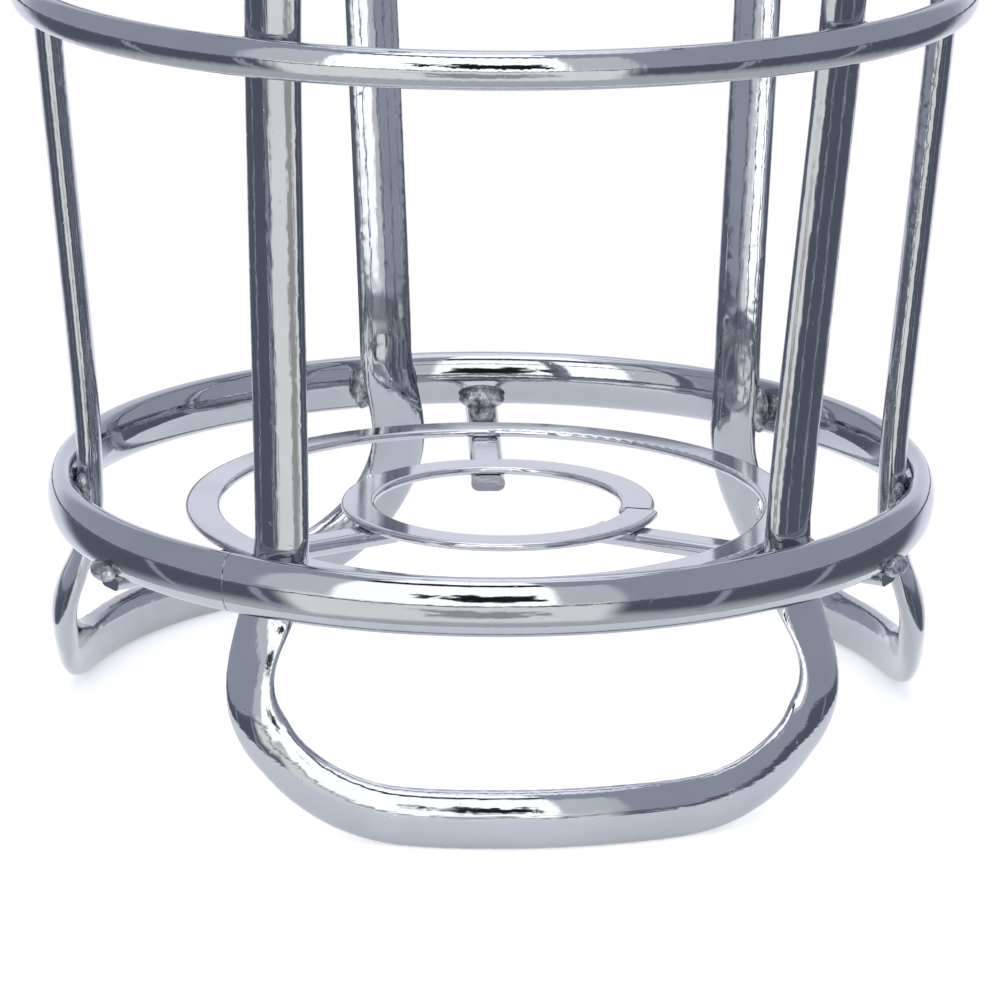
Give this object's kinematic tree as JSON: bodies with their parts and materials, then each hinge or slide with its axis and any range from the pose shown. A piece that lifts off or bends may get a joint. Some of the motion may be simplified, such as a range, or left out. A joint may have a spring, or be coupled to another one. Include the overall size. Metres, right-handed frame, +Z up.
{
  "type": "mug tree",
  "caption": "Free-standing chromed wire mug tree: flat-oval loop wires with foot loops and hooks, welded to rings, with an open strip floor.",
  "frame": {"origin": "on the table, on the axis of the rings", "axes": "+Z up along the axis of the rings; -Y towards the front foot loop"},
  "size_m": [0.2076, 0.1947, 0.2296],
  "materials": {
    "chrome_wire": "bright chrome plate on drawn steel wire, fine lengthwise marks",
    "chrome_ring": "bright chrome plate",
    "chrome_floor": "bright chrome plate on flat strip",
    "weld_metal": "rough plated weld metal"
  },
  "bodies": {
    "root": {"loop_wire_front": "chrome_wire", "loop_wire_left": "chrome_wire", "loop_wire_right": "chrome_wire", "lower_ring": "chrome_ring", "upper_ring": "chrome_ring", "top_ring": "chrome_ring", "floor_outer_ring": "chrome_floor", "floor_inner_ring": "chrome_floor", "floor_spoke_back": "chrome_floor", "floor_spoke_left": "chrome_floor", "floor_spoke_right": "chrome_floor", "spoke_welds": "weld_metal", "lower_ring_welds": "weld_metal", "upper_ring_welds": "weld_metal", "top_ring_welds": "weld_metal"}
  },
  "joints": []
}
